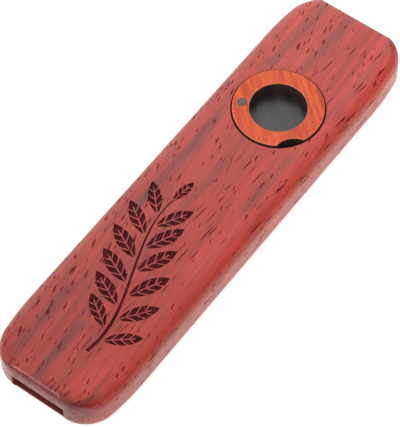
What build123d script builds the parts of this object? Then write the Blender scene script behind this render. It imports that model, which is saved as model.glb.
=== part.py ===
from build123d import *

import os
from math import cos, radians, sin

# A flat wooden kazoo, in millimetres.
#
# Two glued boards make a bar with an airway right through it. Near one end the upper board has a round pocket.
# A film disc lies on the pocket's floor over a hole into the airway, and a loose ring holds the film down.
# A magnet in the ring and one in the pocket's floor keep the ring in its pocket, and a thumb notch in its rim
# lifts it out when the film is changed.
#
# Frame: X along the bar, from the mouth end at -X to the ring's end at +X, Y across it, Z up through its
# thickness. The origin is the middle of the flat underside.

# Bar, seen from above: straight ends and sides, joined by a corner arc that runs out in a long gentle sweep.
# The top edge is rounded over while both ends still bulge. Cutting them straight leaves a crease at each end.
LENGTH = 119.4
WIDTH = 30.88
MOUTH_CORNER_RADIUS = 8.2
FAR_CORNER_RADIUS = 5.6
SWEEP_RADIUS = 58.0
SWEEP_ANGLE = 9.2
TOP_EDGE_RADIUS = 4.0
BOTTOM_EDGE_RADIUS = 4.0
BULGE_ANGLE = 68.0
CREASE_CHAMFER = 0.4

# Layers of the bar, from the underside up to the pocket's floor
FLOOR_WALL = 2.0
AIRWAY_HEIGHT = 4.6
LEDGE_THICKNESS = 2.25

# Airway, a groove in the lower board that the upper board closes
AIRWAY_WIDTH = 13.8
AIRWAY_OFFSET = 0.26
AIRWAY_CORNER_RADIUS = 0.6
MOUTH_EDGE_RADIUS = 0.3

# Ring, laser-cut from a thin plate
RING_X = 28.0
RING_Y = -0.35
RING_BORE = 13.3
RING_LAND = 3.9
RING_THICKNESS = 3.6
RING_PROUD = 0.5
RING_CHAMFER = 0.15
NOTCH_RADIUS = 5.0
NOTCH_DEPTH = 1.6
NOTCH_ANGLE = -129.5

# Pocket that holds the ring, and the film under it
POCKET_CLEARANCE = 0.28
POCKET_CHAMFER = 0.15
FILM_THICKNESS = 0.05
FILM_OVERLAP = 3.6

# Magnets, one in the ring and one under it in the pocket's floor
MAGNET_DIAMETER = 2.2
MAGNET_MARGIN = 0.6
MAGNET_ANGLE = 116.0
SEAT_MAGNET_LENGTH = 1.5
GLUE_GAP = 0.03

# Heights, radii and the corner arcs' angle, which follow from those sizes
seam_z = FLOOR_WALL + AIRWAY_HEIGHT
pocket_z = seam_z + LEDGE_THICKNESS
ring_z = pocket_z + FILM_THICKNESS
top_z = ring_z + RING_THICKNESS - RING_PROUD
bore_radius = RING_BORE / 2
ring_radius = bore_radius + RING_LAND
pocket_radius = ring_radius + POCKET_CLEARANCE
film_radius = bore_radius + FILM_OVERLAP
magnet_radius = MAGNET_DIAMETER / 2
magnet_circle = bore_radius + MAGNET_MARGIN + magnet_radius
turn = 90 - SWEEP_ANGLE


def round_the_ring(radius, angle):
    """A point at that radius and angle about the ring's axis, in plan."""
    return Vector(RING_X + radius * cos(radians(angle)), RING_Y + radius * sin(radians(angle)))


def disc(centre, radius, low, high):
    """An upright cylinder between two heights."""
    return extrude(Plane.XY.offset(low) * Pos(centre.X, centre.Y) * Circle(radius), high - low)


def corner_curve(radius, first):
    """A corner at +X +Y: its arc from that angle on, its sweep and the side up to the middle."""
    step = SWEEP_RADIUS - radius
    corner_x = LENGTH / 2 - radius
    sweep_x = corner_x - step * cos(radians(turn))
    sweep_y = WIDTH / 2 - SWEEP_RADIUS
    corner_y = sweep_y + step * sin(radians(turn))
    return Curve() + [
        CenterArc((corner_x, corner_y), radius, first, turn - first),
        CenterArc((sweep_x, sweep_y), SWEEP_RADIUS, turn, SWEEP_ANGLE),
        Line((sweep_x, WIDTH / 2), (0, WIDTH / 2)),
    ]


def straight_end(corner):
    """The end's half outline at +X, from the middle line to where that corner starts."""
    start = corner.edges()[0] @ 0
    return Curve() + Line((start.X, 0), start)


def bulging_end(corner):
    """The end's half outline at +X, an arc that runs on smoothly from where that corner starts."""
    start = corner.edges()[0] @ 0
    radius = start.Y / sin(radians(BULGE_ANGLE))
    centre_x = start.X - radius * cos(radians(BULGE_ANGLE))
    return Curve() + CenterArc((centre_x, 0), radius, 0, BULGE_ANGLE)


def plan_outline(first, end):
    """The bar's outline, whose corner arcs start at that angle and are joined by ends of that kind."""
    far, mouth = [corner_curve(radius, first) for radius in (FAR_CORNER_RADIUS, MOUTH_CORNER_RADIUS)]
    half = far + end(far) + mirror(mouth + end(mouth), Plane.YZ)
    return make_face(half + mirror(half, Plane.XZ))


def bar_blank():
    """The whole bar with its edges rounded, before the airway and the pocket are cut into it."""
    bar = extrude(plan_outline(0, straight_end), top_z)
    bar = fillet(bar.faces().sort_by(Axis.Z)[0].edges(), BOTTOM_EDGE_RADIUS)
    bulging = extrude(plan_outline(BULGE_ANGLE, bulging_end), top_z)
    bar &= fillet(bulging.faces().sort_by(Axis.Z)[-1].edges(), TOP_EDGE_RADIUS)
    crease = Plane.XZ * Pos(LENGTH / 2, top_z) * RegularPolygon(CREASE_CHAMFER, 4)
    easing = extrude(crease, WIDTH / 2, both=True)
    return bar - easing - mirror(easing, Plane.YZ)


def bored_bar():
    """The bar with its airway cut right through, and the edges of both mouths eased for the lips."""
    on_base = (Align.CENTER, Align.CENTER, Align.MIN)
    groove = Box(LENGTH * 1.1, AIRWAY_WIDTH, AIRWAY_HEIGHT, align=on_base)
    groove = fillet(groove.edges().filter_by(Axis.X).group_by(Axis.Z)[0], AIRWAY_CORNER_RADIUS)
    groove = Pos(0, AIRWAY_OFFSET, FLOOR_WALL) * groove
    # Easing the mouths in a wider block keeps them clear of where the bar's corners start.
    block = Box(LENGTH, WIDTH + AIRWAY_WIDTH, top_z, align=on_base)
    block = fillet(block.edges().filter_by(Axis.Y).group_by(Axis.Z)[0], BOTTOM_EDGE_RADIUS)
    bored = block - groove
    mouths = new_edges(block, groove, combined=bored).filter_by(Axis.X, reverse=True)
    return fillet(mouths, MOUTH_EDGE_RADIUS) & bar_blank()


def boards():
    """The lower and the upper board, parted where they are glued, at the airway's roof."""
    seam = Plane.XY.offset(seam_z)
    bar = bored_bar()
    lower = split(bar, bisect_by=seam, keep=Keep.BOTTOM)
    upper = split(bar, bisect_by=seam, keep=Keep.TOP)
    axis = round_the_ring(0, 0)
    upper -= disc(axis, pocket_radius, pocket_z, top_z)
    rim = upper.edges().filter_by(GeomType.CIRCLE).group_by(Axis.Z)[-1]
    upper = chamfer(rim, POCKET_CHAMFER)
    upper -= disc(axis, bore_radius, seam_z, pocket_z)
    seat = round_the_ring(magnet_circle, MAGNET_ANGLE)
    upper -= disc(seat, magnet_radius + GLUE_GAP, pocket_z - SEAT_MAGNET_LENGTH, pocket_z)
    return lower, upper


def cover_ring():
    """The ring: a bored disc with a thumb notch in its rim and a hole for its magnet, its top edges eased."""
    axis = round_the_ring(0, 0)
    notch = round_the_ring(ring_radius - NOTCH_DEPTH + NOTCH_RADIUS, NOTCH_ANGLE)
    ring_top = ring_z + RING_THICKNESS
    ring = disc(axis, ring_radius, ring_z, ring_top)
    ring -= disc(axis, bore_radius, ring_z, ring_top)
    ring -= disc(notch, NOTCH_RADIUS, ring_z, ring_top)
    ring = chamfer(ring.faces().sort_by(Axis.Z)[-1].edges(), RING_CHAMFER)
    magnet = round_the_ring(magnet_circle, MAGNET_ANGLE)
    return ring - disc(magnet, magnet_radius + GLUE_GAP, ring_z, ring_top)


def magnets():
    """The ring's magnet, flush with both its faces, and the one under it, flush with the pocket's floor."""
    place = round_the_ring(magnet_circle, MAGNET_ANGLE)
    in_ring = disc(place, magnet_radius, ring_z, ring_z + RING_THICKNESS)
    in_seat = disc(place, magnet_radius, pocket_z - SEAT_MAGNET_LENGTH, pocket_z)
    return in_ring, in_seat


def film():
    """The film disc, flat on the pocket's floor."""
    return disc(round_the_ring(0, 0), film_radius, pocket_z, ring_z)


lower_board, upper_board = boards()
ring_magnet, seat_magnet = magnets()
parts = {
    "lower_board": lower_board,
    "upper_board": upper_board,
    "cover_ring": cover_ring(),
    "ring_magnet": ring_magnet,
    "seat_magnet": seat_magnet,
    "membrane": film(),
}

os.makedirs("parts", exist_ok=True)
for name, shape in parts.items():
    export_step(shape, f"parts/{name}.step")
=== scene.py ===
from math import cos, pi, radians, sin

import bpy
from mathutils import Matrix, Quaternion, Vector
from mathutils.geometry import interpolate_bezier


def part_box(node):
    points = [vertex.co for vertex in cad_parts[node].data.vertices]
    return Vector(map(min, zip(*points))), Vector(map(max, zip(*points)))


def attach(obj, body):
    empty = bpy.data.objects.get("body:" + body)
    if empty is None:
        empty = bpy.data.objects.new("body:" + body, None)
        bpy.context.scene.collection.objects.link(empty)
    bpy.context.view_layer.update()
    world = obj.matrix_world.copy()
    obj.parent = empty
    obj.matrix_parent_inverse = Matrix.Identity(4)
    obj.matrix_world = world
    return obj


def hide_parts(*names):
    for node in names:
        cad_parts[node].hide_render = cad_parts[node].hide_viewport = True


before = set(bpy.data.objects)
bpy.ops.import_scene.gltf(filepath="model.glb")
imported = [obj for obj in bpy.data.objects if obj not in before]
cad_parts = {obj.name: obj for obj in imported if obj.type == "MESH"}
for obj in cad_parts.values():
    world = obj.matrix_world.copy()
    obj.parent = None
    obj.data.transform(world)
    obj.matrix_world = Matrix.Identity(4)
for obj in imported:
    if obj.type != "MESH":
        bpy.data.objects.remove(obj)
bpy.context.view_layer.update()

MM = 0.001

# Lower board
# The lower half of the bar, planed from red hardwood, with the airway as a groove along its upper face.
# It is glued under the upper board, and the two are rounded over, sanded and varnished as one.
bar_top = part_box("upper_board")[1].z / MM
ring_low, ring_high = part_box("cover_ring")
ring_axis = (ring_low + ring_high) / 2 / MM
airway_middle, airway_half_width, airway_floor, airway_roof = 0.26, 6.9, 2.0, 6.6
pocket_radius = 10.83


def paint(red, green, blue):
    """A colour given as the eye sees it, 0 to 255, as the linear values that a shader takes."""
    shares = [value / 255 for value in (red, green, blue)]
    linear = [s / 12.92 if s <= 0.04045 else ((s + 0.055) / 1.055) ** 2.4 for s in shares]
    return (*linear, 1.0)


class Wire:
    """An output in a node tree. Arithmetic on it adds Math nodes, and node() adds any other node."""

    def __init__(self, tree, socket=None):
        self.tree = tree
        self.socket = socket

    def node(self, kind, settings, inputs, output=0):
        made = self.tree.nodes.new("ShaderNode" + kind)
        for name, value in settings.items():
            setattr(made, name, value)
        for name, value in inputs.items():
            if isinstance(value, Wire):
                self.tree.links.new(value.socket, made.inputs[name])
            else:
                made.inputs[name].default_value = value
        return Wire(self.tree, made.outputs[output] if made.outputs else None)

    def math(self, operation, first, second=0.0):
        return self.node("Math", {"operation": operation}, {0: first, 1: second})

    def __add__(self, other):
        return self.math("ADD", self, other)

    def __sub__(self, other):
        return self.math("SUBTRACT", self, other)

    def __rsub__(self, other):
        return self.math("SUBTRACT", other, self)

    def __mul__(self, other):
        return self.math("MULTIPLY", self, other)

    def __abs__(self):
        return self.math("ABSOLUTE", self)

    __radd__ = __add__
    __rmul__ = __mul__

    def vector(self, operation, first, second=(0.0, 0.0, 0.0), output=0):
        return self.node("VectorMath", {"operation": operation}, {0: first, 1: second}, output)

    def axes(self):
        """The X, Y and Z of this point, each on its own."""
        return [self.node("SeparateXYZ", {}, {0: self}, axis) for axis in "XYZ"]

    def ease(self, low, high):
        """0 at low and 1 at high, with a soft start and end."""
        limits = {"Value": self, "From Min": low, "From Max": high}
        return self.node("MapRange", {"interpolation_type": "SMOOTHSTEP"}, limits)

    def tint(self, first, second, blend="MIX"):
        """The first colour where this is 0, the second, or the two blended, where it is 1."""
        colours = {0: self, 6: first, 7: second}
        return self.node("Mix", {"data_type": "RGBA", "blend_type": blend}, colours, 2)

    def stretched(self, size, turn=0.0, start=(0.0, 0.0, 0.0)):
        """This point measured in steps of size, along axes turned about Z."""
        place = {"Vector": self, "Location": start, "Rotation": (0.0, 0.0, turn), "Scale": size}
        return self.node("Mapping", {"vector_type": "TEXTURE"}, place)

    def noise(self, detail=2.0, roughness=0.5):
        clouds = {"Vector": self, "Scale": 1.0, "Detail": detail, "Roughness": roughness}
        return self.node("TexNoise", {}, clouds)

    def bump(self, strength, depth):
        """The surface's normal where this is its relief, of that depth in millimetres."""
        return self.node("Bump", {}, {"Strength": strength, "Distance": depth * MM, "Height": self})


def highest(*masks):
    """The greatest of these masks at each point."""
    top = masks[0]
    for mask in masks[1:]:
        top = top.math("MAXIMUM", top, mask)
    return top


def new_finish(name):
    """An empty material, and the point on its piece in millimetres."""
    material = bpy.data.materials.new(name)
    material.use_nodes = True
    material.node_tree.nodes.clear()
    here = Wire(material.node_tree).node("TexCoord", {}, {}, "Object")
    return material, here.node("VectorMath", {"operation": "SCALE"}, {0: here, "Scale": 1 / MM})


def facing(here):
    """The direction that the surface faces, as its X, Y and Z."""
    return here.node("NewGeometry", {}, {}, "Normal").axes()


def surface(here, dull=None, **sockets):
    """Closes a material with a shader, without gloss where dull is 1. A socket's name has _ for a space."""
    inputs = {name.replace("_", " "): value for name, value in sockets.items()}
    shader = here.node("BsdfPrincipled", {}, inputs)
    if dull:
        inputs.update({"Roughness": 0.9, "Specular IOR Level": 0.0})
        matt = here.node("BsdfPrincipled", {}, inputs)
        shader = here.node("MixShader", {}, {0: dull, 1: shader, 2: matt})
    here.node("OutputMaterial", {}, {"Surface": shader})


def threads(here, start, length, width, slant, detail, roughness=0.5):
    """A pattern drawn out along the grain, of that length and width in millimetres and slant in degrees."""
    return here.stretched((length, width, width), radians(slant), start).noise(detail, roughness)


def heart_streaks(here, start):
    """1 in the dull streaks of heartwood, which run along the bar and lean with the growth rings."""
    lean = 0.35
    fade_out, fade_in = 3.0, 4.0
    streaks = (
        # across, half width, from, to, strength
        (8.8, 1.1, -50.0, -35.0, 0.9),
        (9.0, 1.6, -59.0, -49.0, 0.5),
        (9.3, 1.1, -14.0, 21.0, 0.95),
        (8.3, 1.1, 36.0, 62.0, 0.75),
        (0.9, 1.1, -62.0, -42.0, 1.0),
        (1.5, 0.9, -40.0, -33.0, 0.7),
        (1.0, 1.0, -26.0, 19.0, 0.55),
        (1.0, 1.2, 39.0, 62.0, 0.8),
        (-4.2, 1.7, -62.0, -38.0, 0.35),
        (-6.6, 1.2, -20.0, 0.0, 0.3),
        (-4.6, 1.1, 46.0, 62.0, 0.4),
        (-10.4, 1.0, -1.0, 21.0, 0.85),
        (-11.0, 1.1, 30.0, 62.0, 0.65),
        (-11.4, 0.45, -62.0, -47.0, 0.35),
    )
    along, across, height = here.axes()
    wander = (threads(here, start, 24.0, 12.0, 0.0, 1.0) - 0.5) * 1.6
    ragged = (threads(here, start, 9.0, 0.7, 0.0, 3.0) - 0.5) * 1.2
    layer = across + (height - bar_top) * lean + wander + ragged
    masks = []
    for line, half_width, first, last, strength in streaks:
        beside = abs(layer - line).ease(half_width * 1.7, half_width * 0.3)
        within = along.ease(first - fade_out, first + fade_in) * along.ease(last + fade_out, last - fade_in)
        masks.append(beside * within * strength)
    return highest(*masks)


def vessels(point, length, width, slant, start, share):
    """1 in the dark vessels that a planed face cuts open. Of cells of that size, this share has one."""
    cells = point.stretched((length, width, width), radians(slant), start)
    grid = {"Vector": cells, "Scale": 1.0}
    away = cells.node("TexVoronoi", {}, grid)
    luck = cells.node("TexVoronoi", {}, grid, "Color")
    chance, size, depth = [
        luck.node("SeparateColor", {}, {"Color": luck}, part) for part in ("Red", "Green", "Blue")
    ]
    reach = 0.17 + size * 0.2
    open_cells = chance.ease(share + 0.02, share - 0.02) * (0.8 + depth * 0.2)
    return away.ease(reach, reach * 0.65) * open_cells


def board_vessels(here, start):
    """A board's vessels: slanted on the far half, long and level on the near one, short ones all over."""
    along, across = here.axes()[:2]
    far_half = across.ease(-4.0, 3.0)
    crowd = threads(here, (start[2], start[0], start[1]), 11.0, 6.0, 0.0, 1.0).ease(0.36, 0.62)
    far_share = 0.35 + crowd * 0.65
    near_share = 0.28 + crowd * (0.5 - along.ease(22.0, 46.0) * 0.42)
    short_share = 0.14 + crowd * 0.2
    tilted = vessels(here, 4.4, 0.72, 16.0, start, far_share) * far_half
    level = vessels(here, 8.5, 0.62, -3.0, start, near_share) * (1.0 - far_half)
    short = vessels(here, 3.0, 0.62, 14.0, (start[1], start[0], 5.0), short_share)
    return highest(tilted + level, short)


def raw_faces(here):
    """The walls of the airway and those of the pocket, which the varnish doesn't reach, as two masks."""
    side_edge, level_edge = 0.1, 0.2
    across, height = here.axes()[1:]
    in_airway = abs(across - airway_middle).ease(airway_half_width + side_edge, airway_half_width)
    in_airway = in_airway * height.ease(airway_floor - level_edge, airway_floor)
    in_airway = in_airway * height.ease(airway_roof + level_edge, airway_roof)
    from_axis = here.vector("SUBTRACT", here, (ring_axis.x, ring_axis.y, 0.0))
    from_axis = here.vector("MULTIPLY", from_axis, (1.0, 1.0, 0.0))
    from_axis = here.vector("LENGTH", from_axis, output="Value")
    in_pocket = from_axis.ease(pocket_radius + side_edge, pocket_radius)
    in_pocket = in_pocket * height.ease(bar_top, bar_top - level_edge)
    in_pocket = in_pocket * height.ease(airway_roof - level_edge, airway_roof)
    return in_airway, in_pocket


def red_hardwood(name, start):
    """Varnished red wood. The start shifts its pattern, so that the two boards differ."""
    material, here = new_finish(name)
    along, across, height = here.axes()
    east, north, up = facing(here)
    fibre = threads(here, start, 16.0, 0.5, 3.0, 4.0, 0.6)
    cloud = threads(here, start, 22.0, 4.0, 3.0, 2.0)
    warmth = threads(here, start, 18.0, 5.0, -4.0, 2.0)
    grain = threads(here, start, 6.0, 0.32, 5.0, 3.0, 0.6)
    strand = threads(here, start, 20.0, 1.2, 4.0, 3.0, 0.55)
    grit = threads(here, start, 1.2, 0.5, 0.0, 2.0).ease(0.4, 0.7)
    side_lines = here.stretched((13.0, 0.6, 0.42), 0.0, start).noise(3.0, 0.6).ease(0.5, 0.66)
    end_blotch = here.stretched((1.0, 1.7, 0.8), 0.0, start).noise(3.0, 0.6).ease(0.42, 0.58)
    heart = heart_streaks(here, start) * (0.6 + 0.4 * fibre.ease(0.62, 0.38))
    vessel = board_vessels(here, start)
    in_airway, in_pocket = raw_faces(here)
    raw = highest(in_airway, in_pocket)
    end_grain = abs(east).ease(0.7, 0.97)
    dry_end = end_grain * 0.9 * height.ease(airway_roof + 0.8, bar_top - 0.4)

    # Painted sheen: a paler band on the near side's rounding along the far half.
    far_shoulder_painted_sheen = along.ease(-10.0, 20.0) * across.ease(-7.5, -10.5) * across.ease(-13.8, -12.6)
    # Painted shade: a darker band on the left rounding along the far half.
    left_shoulder_painted_shade = along.ease(-15.0, 25.0) * across.ease(11.6, 12.8) * across.ease(14.9, 13.9)
    left_corner = along.ease(-38.0, -56.0) * across.ease(9.0, 14.0)
    # Painted highlight: a pale grey rim along the far end's top edge.
    far_edge_painted_highlight = along.ease(57.9, 59.5) * up.ease(0.3, 0.7)
    # Painted shade: the mouth end's top edge is darker on its near half.
    mouth_edge_painted_shade = along.ease(-57.6, -59.2) * across.ease(4.0, -3.0) * up.ease(0.2, 0.5)
    mouth_side = along.ease(-42.0, -52.0) * across.ease(1.0, -4.0) * up.ease(0.75, 0.95)
    # Painted shade: the rounding at the mouth's near corner is darkened, standing in for a dark reflection
    # there.
    near_corner_painted_shade = along.ease(-53.0, -58.0) * across.ease(-4.0, -9.0) * up.ease(0.97, 0.8)
    # Stains of the wood, and painted light and shade: the near side's lift, both shoulders, the far edge, the
    # mouth's edge and the near corner are painted light and shade, not stains.
    stains_and_painted_light = (
        # where, and what red, green and blue are multiplied by
        (cloud.ease(0.3, 0.7) * 0.5, 0.8, 0.8, 0.8),
        (warmth.ease(0.55, 0.75) * 0.5, 1.14, 1.1, 0.86),
        (fibre.ease(0.45, 0.8) * 0.5, 0.72, 0.62, 0.66),
        (strand.ease(0.47, 0.63), 0.8, 0.96, 0.99),
        (strand.ease(0.45, 0.33), 1.07, 1.02, 0.98),
        (grain.ease(0.5, 0.7), 1.16, 1.2, 1.16),
        (grain.ease(0.5, 0.3), 0.86, 0.76, 0.8),
        # Painted light: the near side's rounding is lighter, and the near wall lighter and warmer.
        (across.ease(-6.0, -11.5), 1.08, 1.1, 1.04),
        (across.ease(-12.5, -15.4), 1.09, 1.0, 0.88),
        (far_shoulder_painted_sheen, 1.13, 1.14, 1.14),
        (left_shoulder_painted_shade, 0.86, 0.88, 0.85),
        (far_edge_painted_highlight, 0.96, 1.5, 1.6),
        (mouth_side, 1.14, 1.14, 1.07),
        (near_corner_painted_shade * height.ease(5.0, 6.4), 0.5, 0.36, 0.36),
        (mouth_edge_painted_shade, 0.66, 0.76, 0.76),
        (left_corner, 1.1, 1.0, 0.82),
        (side_lines * abs(north).ease(0.6, 0.95), 0.66, 0.78, 0.8),
        (heart, 0.47, 0.9, 0.97),
    )
    farther = across.ease(-8.0, 6.0)
    mouth_red = farther.tint(paint(175, 61, 55), paint(168, 63, 57))
    ring_red = farther.tint(paint(200, 72, 64), paint(204, 81, 74))
    # Painted light: the red pales from the mouth end towards the far end, as if the far end were lit more.
    colour = along.ease(-70.0, 62.0).tint(mouth_red, ring_red)
    for place, *factors in stains_and_painted_light:
        colour = place.tint(colour, (*factors, 1.0), "MULTIPLY")
    colour = vessel.tint(colour, paint(104, 20, 26))
    colour = (end_grain * 0.75).tint(colour, end_blotch.tint(paint(134, 56, 51), paint(84, 33, 35)))
    # The pocket's raw wood is much darker than the airway's: painted shade in the gap round the ring.
    colour = raw.tint(colour, in_pocket.tint(paint(118, 57, 52), paint(84, 36, 30)))
    normal = (fibre * 0.15 + grain * 0.1 - vessel).bump(0.25, 0.05)
    dull = highest(vessel, raw, dry_end)
    surface(here, dull, Base_Color=colour, Roughness=0.2 + grit * 0.14, Normal=normal)
    return material


def dress(node, material):
    """Gives a CAD node its finish."""
    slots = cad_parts[node].data.materials
    slots.clear()
    slots.append(material)


dress("lower_board", red_hardwood("lower_hardwood", (40.0, 7.0, 3.0)))

# Upper board
# The upper half of the bar, of the same hardwood, with the round pocket for the ring. A leafy sprig is
# burnt into its top with a laser, which leaves a shallow dark recess with fine lines along the bar.
burn_depth = 0.15
cutter_height = 0.5
stem_line = ((-47.5, -4.0), (-34.0, -7.0), (-20.0, 6.0), (-6.0, 4.0))
stem_half_width = 0.42
stem_taper = 0.65
leaf_pairs = 6
first_leaf, leaf_spread = 0.1, 0.86
leaf_gap = 0.45
leaf_length = 10.2
leaf_half_width = 1.8
leaf_turn, leaf_turn_loss = 52.0, 14.0
least_leaf, leaf_growth, tip_leaf = 0.66, 0.34, 0.62
rib_width, rib_share, rib_overshoot = 0.32, 0.8, 0.4
vein_width, vein_turn, vein_shares = 0.3, radians(42.0), (0.2, 0.42, 0.64)
weld_distance = 0.001 * MM


def select_only(piece):
    bpy.ops.object.select_all(action="DESELECT")
    piece.select_set(True)
    bpy.context.view_layer.objects.active = piece


def combine(piece, tool, operation):
    """Cuts a closed piece with another, or keeps what the two share, and clears the other away."""
    select_only(piece)
    bpy.ops.object.modifier_add(type="BOOLEAN")
    change = piece.modifiers[-1]
    change.object = tool
    change.operation = operation
    change.solver = "MANIFOLD"
    change.material_mode = "TRANSFER"
    bpy.ops.object.modifier_apply(modifier=change.name)
    bpy.data.objects.remove(tool)


def scorched(name):
    """Wood burnt by a laser: dark brown, in fine lines along the beam's path."""
    line_pitch = 0.36
    material, here = new_finish(name)
    across = here.axes()[1]
    lines = across.math("SINE", across * (2 * pi / line_pitch)).ease(-0.6, 1.0)
    ragged = lines * here.stretched((2.4, 0.3, 0.3)).noise(3.0).ease(0.36, 0.64)
    colour = ragged.tint(paint(58, 17, 17), paint(118, 47, 45))
    surface(here, Base_Color=colour, Roughness=0.8, Specular_IOR_Level=0.06, Normal=ragged.bump(0.3, 0.03))
    return material


def bar_cutter(middle, turn, length, width):
    """A thin upright box, to cut a line through a leaf."""
    bpy.ops.object.select_all(action="DESELECT")
    bpy.ops.mesh.primitive_cube_add(
        size=1.0,
        location=middle * MM,
        rotation=(0.0, 0.0, turn),
        scale=Vector((length, width, cutter_height * 2)) * MM,
    )
    return bpy.context.object


def leaf_cutter():
    """One leaf along X from the origin: what two discs share, cut through along its midrib and side veins."""
    arc_radius = (leaf_length ** 2 / 4 + leaf_half_width ** 2) / (2 * leaf_half_width)
    halves = []
    for side in (-1, 1):
        bpy.ops.object.select_all(action="DESELECT")
        middle = Vector((leaf_length / 2, side * (arc_radius - leaf_half_width), 0.0)) * MM
        bpy.ops.mesh.primitive_cylinder_add(
            vertices=180, radius=arc_radius * MM, depth=cutter_height * MM, location=middle
        )
        halves.append(bpy.context.object)
    leaf = halves[0]
    combine(leaf, halves[1], "INTERSECT")
    rib_length = leaf_length * rib_share
    rib_middle = Vector((rib_length / 2 - rib_overshoot / 2, 0.0, 0.0))
    combine(leaf, bar_cutter(rib_middle, 0.0, rib_length + rib_overshoot, rib_width), "DIFFERENCE")
    for share in vein_shares:
        for side in (-1, 1):
            root = Vector((leaf_length * share, 0.0, 0.0))
            middle = root + Vector((cos(vein_turn), side * sin(vein_turn), 0.0)) * leaf_half_width
            vein = bar_cutter(middle, side * vein_turn, leaf_half_width * 2, vein_width)
            combine(leaf, vein, "DIFFERENCE")
    select_only(leaf)
    bpy.ops.object.transform_apply(location=True, rotation=False, scale=False)
    leaf.name = "leaf_burn"
    return leaf


def stem_cutter():
    """The stem, a thin tube along its line that is pressed flat and lies half in the wood."""
    bpy.ops.object.select_all(action="DESELECT")
    bpy.ops.curve.primitive_bezier_curve_add()
    stem = bpy.context.object
    line = stem.data
    knots = [Vector((x, y, 0.0)) * MM for x, y in stem_line]
    for point, place, handle in zip(line.splines[0].bezier_points, (0, 3), (1, 2)):
        point.handle_left_type = point.handle_right_type = "FREE"
        point.co = knots[place]
        point.handle_left = point.handle_right = knots[handle]
    line.splines[0].bezier_points[1].radius = 1.0 - stem_taper
    line.resolution_u = 48
    line.bevel_depth = stem_half_width * MM
    line.bevel_resolution = 4
    line.use_fill_caps = True
    bpy.ops.object.convert(target="MESH")
    bpy.ops.object.mode_set(mode="EDIT")
    bpy.ops.mesh.select_all(action="SELECT")
    bpy.ops.mesh.remove_doubles(threshold=weld_distance)
    bpy.ops.mesh.normals_make_consistent(inside=False)
    bpy.ops.object.mode_set(mode="OBJECT")
    stem.scale.z = burn_depth / stem_half_width
    stem.location.z = bar_top * MM
    bpy.ops.object.transform_apply(location=True, rotation=False, scale=True)
    stem.name = "stem_burn"
    return stem


def stem_at(share):
    """The point on the stem at that share of its line, and its direction there."""
    steps = 200
    knots = [Vector((x, y, 0.0)) for x, y in stem_line]
    points = interpolate_bezier(*knots, steps + 1)
    index = min(int(share * steps), steps - 1)
    return points[index], (points[index + 1] - points[index]).normalized()


def leaf_at(model, root, direction, size):
    """A copy of the leaf that starts at that point of the top face."""
    select_only(model)
    bpy.ops.object.duplicate()
    leaf = bpy.context.object
    leaf.location = Vector((root.x, root.y, bar_top - burn_depth + cutter_height / 2)) * MM
    leaf.rotation_euler = direction.to_track_quat("X", "Z").to_euler()
    leaf.scale = (size, size, 1.0)
    return leaf


sprig = stem_cutter()
model_leaf = leaf_cutter()
leaves = []
for pair in range(leaf_pairs):
    for side in (-1, 1):
        share = first_leaf + leaf_spread * (pair + (0.5 if side > 0 else 0.0)) / leaf_pairs
        point, direction = stem_at(share)
        sideways = Vector((-direction.y, direction.x, 0.0)) * side
        root = point + sideways * (stem_half_width * (1.0 - stem_taper * share) + leaf_gap)
        outward = Quaternion((0, 0, 1), side * radians(leaf_turn - leaf_turn_loss * share)) @ direction
        size = least_leaf + leaf_growth * sin(pi * (0.1 + 0.8 * share))
        leaves.append(leaf_at(model_leaf, root, outward, size))
tip, direction = stem_at(1.0)
leaves.append(leaf_at(model_leaf, tip + direction * leaf_gap, direction, tip_leaf))
bpy.data.objects.remove(model_leaf)
select_only(sprig)
for leaf in leaves:
    leaf.select_set(True)
bpy.ops.object.join()
sprig.data.materials.clear()
sprig.data.materials.append(scorched("scorched_sprig"))

carved_top = bpy.data.objects.new("carved_top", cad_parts["upper_board"].data.copy())
bpy.context.collection.objects.link(carved_top)
select_only(carved_top)
bpy.ops.mesh.customdata_custom_splitnormals_clear()
bpy.ops.object.mode_set(mode="EDIT")
bpy.ops.mesh.select_all(action="SELECT")
bpy.ops.mesh.remove_doubles(threshold=weld_distance)
bpy.ops.object.mode_set(mode="OBJECT")
carved_top.data.materials.clear()
carved_top.data.materials.append(red_hardwood("upper_hardwood", (0.0, 0.0, 0.0)))
combine(carved_top, sprig, "DIFFERENCE")
bpy.ops.object.shade_smooth_by_angle(angle=radians(35.0))
bpy.ops.object.modifier_add(type="WEIGHTED_NORMAL")
carved_top.modifiers[-1].keep_sharp = True
bpy.ops.object.modifier_apply(modifier=carved_top.modifiers[-1].name)
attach(carved_top, "bar")
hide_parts("upper_board")

# Seat magnet
# A small nickel-plated disc, bought in and glued into the pocket's floor.
# It lies under the film and holds the ring's magnet.


def dull_nickel(name):
    material, here = new_finish(name)
    scratches = here.stretched((0.5, 0.08, 0.5), radians(30.0)).noise(3.0)
    tarnish = here.stretched((0.7, 0.7, 0.7)).noise(2.0)
    colour = tarnish.ease(0.3, 0.7).tint(paint(118, 116, 113), paint(92, 89, 86))
    roughness = 0.42 + scratches * 0.2
    surface(here, Base_Color=colour, Metallic=0.6, Roughness=roughness, Normal=scratches.bump(0.2, 0.01))
    return material


dress("seat_magnet", dull_nickel("seat_nickel"))

# Membrane
# A disc cut from thin dark film and laid on the pocket's floor, over the hole into the airway.
# The ring holds its edge down, and the voice makes it buzz.


def dark_film(name):
    material, here = new_finish(name)
    ripple = here.stretched((9.0, 1.4, 1.4), radians(52.0)).noise(2.0)
    colour = ripple.ease(0.3, 0.7).tint(paint(18, 14, 13), paint(50, 42, 39))
    surface(here, Base_Color=colour, Roughness=0.38, IOR=1.9, Normal=ripple.bump(0.3, 0.05))
    return material


dress("membrane", dark_film("dark_film"))

# Cover ring
# A ring of orange hardwood, laser-cut from a thin plate, so its walls are charred. It lies loose in the
# pocket and holds the film down. A thumbnail lifts it by the notch in its rim.


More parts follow.
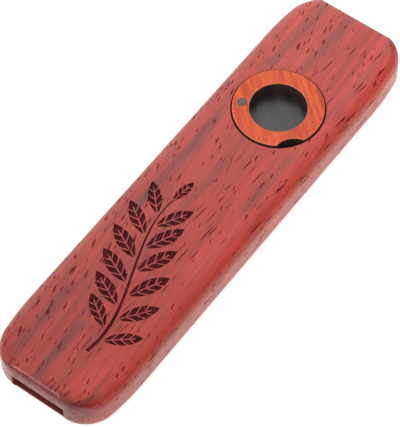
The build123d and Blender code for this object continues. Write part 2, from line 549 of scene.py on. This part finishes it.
def orange_hardwood(name):
    material, here = new_finish(name)
    grain_turn = radians(50.0)
    centred = here.vector("SUBTRACT", here, ring_axis)
    streak = centred.stretched((11.0, 0.8, 0.8), grain_turn).noise(4.0, 0.6)
    band = centred.stretched((14.0, 2.0, 2.0), grain_turn, (3.0, 1.0, 0.0)).noise(2.0)
    soot = centred.stretched((0.35, 0.35, 6.0)).noise(2.0)
    upward = facing(here)[2]
    wall = upward.ease(0.6, 0.3)
    colour = band.ease(0.38, 0.62).tint(paint(199, 67, 35), paint(222, 86, 34))
    colour = (streak.ease(0.47, 0.72) * 0.7).tint(colour, paint(238, 108, 46))
    colour = (streak.ease(0.46, 0.3) * 0.7).tint(colour, paint(178, 50, 30))
    # Painted highlight: the eased edges, which face partly up, are lighter, as a thin light line along the
    # ring's rims.
    colour = upward.ease(0.95, 0.85).tint(colour, paint(230, 126, 84))
    colour = wall.tint(colour, soot.ease(0.5, 0.8).tint(paint(47, 36, 32), paint(100, 68, 53)))
    surface(here, Base_Color=colour, Roughness=0.42 + wall * 0.4, Normal=streak.bump(0.2, 0.03))
    return material


dress("cover_ring", orange_hardwood("orange_hardwood"))

# Ring magnet
# The other magnet of the pair, nickel-plated too and pressed into a hole through the ring.
# It is flush with both of the ring's faces.
dress("ring_magnet", dull_nickel("ring_nickel"))

# Studio
# A white table in a light tent that is open on the right, where the room is dark. Mirrored, the table is
# white only beside the bar. One soft lamp hangs over the camera and isn't mirrored, and a smaller one on
# the left draws a thin light line along the mouth's edge.
table_size = 6.0
bar_half_length, bar_half_width = 59.7, 15.4
mirror_near, mirror_far = -4.0, 40.0
table_glow = 0.64
white, warm_white = (1.0, 1.0, 1.0, 1.0), (1.0, 0.94, 0.86, 1.0)
tent_light, panel_light, open_side_loss = 0.5, 0.9, 0.8

bpy.ops.mesh.primitive_plane_add(size=table_size)
table = bpy.context.object
table.name = "table"
table_cloth, here = new_finish("white_table")
light_paths = ("Is Camera Ray", "Is Glossy Ray", "Is Transmission Ray")
seen, mirrored, passed = [here.node("LightPath", {}, {}, path) for path in light_paths]
along, across = here.axes()[:2]
beside = highest(abs(along) - bar_half_length, abs(across) - bar_half_width)
rays = highest(seen, passed, mirrored * beside.ease(mirror_far, mirror_near))
cloth = here.node("BsdfDiffuse", {}, {"Color": paint(240, 236, 228)})
shade = seen.tint(warm_white, white)
glow = here.node("Emission", {}, {"Color": shade, "Strength": rays * table_glow})
lit = here.node("AddShader", {}, {0: cloth, 1: glow})
here.node("OutputMaterial", {}, {"Surface": lit})
table.data.materials.append(table_cloth)

tent = bpy.data.worlds.new("light_tent")
tent.use_nodes = True
tent.node_tree.nodes.clear()
sky = Wire(tent.node_tree).node("TexCoord", {}, {}, "Generated")
east, north, up = sky.axes()
open_side = (east * 0.43 - north * 0.9).ease(0.0, 0.5) * up.ease(0.62, 0.38)
back_panel = (east * 0.95 + north * 0.31).ease(0.3, 0.66)
strength = (tent_light + back_panel * panel_light) * (1.0 - open_side * open_side_loss)
seen = sky.node("LightPath", {}, {}, "Is Camera Ray")
strength = strength + seen * (1.0 - strength)
background = sky.node("Background", {}, {"Color": white, "Strength": strength})
sky.node("OutputWorld", {}, {"Surface": background})
bpy.context.scene.world = tent


def soft_lamp(location, size, energy, mirrored):
    """A square lamp that is turned to the bar, and shows in its gloss only if it is mirrored."""
    bpy.ops.object.light_add(type="AREA", location=location)
    lamp = bpy.context.object
    lamp.data.size = size
    lamp.data.energy = energy
    lamp.visible_glossy = mirrored
    lamp.rotation_mode = "QUATERNION"
    lamp.rotation_quaternion = (-lamp.location).to_track_quat("-Z", "Y")


soft_lamp(location=(-0.36, -0.23, 0.79), size=1.6, energy=6.7, mirrored=False)
soft_lamp(location=(-0.59, 0.23, 0.31), size=0.15, energy=0.5, mirrored=True)

azimuth, elevation, roll = radians(-53.23), radians(57.12), radians(-0.476)
distance = 543.8 * MM
focus = Vector((-1.675, -0.122, 5.0)) * MM
lens_in_pixels = 2429.9
picture_height = 427
to_camera = Vector((sin(azimuth) * cos(elevation), -cos(azimuth) * cos(elevation), sin(elevation)))
bpy.ops.object.camera_add(location=focus + to_camera * distance)
camera = bpy.context.object
camera.rotation_mode = "QUATERNION"
camera.rotation_quaternion = (-to_camera).to_track_quat("-Z", "Y") @ Quaternion((0, 0, 1), roll)
camera.data.sensor_width = 36.0
camera.data.lens = lens_in_pixels * camera.data.sensor_width / picture_height
bpy.context.scene.camera = camera
bpy.context.scene.view_settings.view_transform = "Standard"
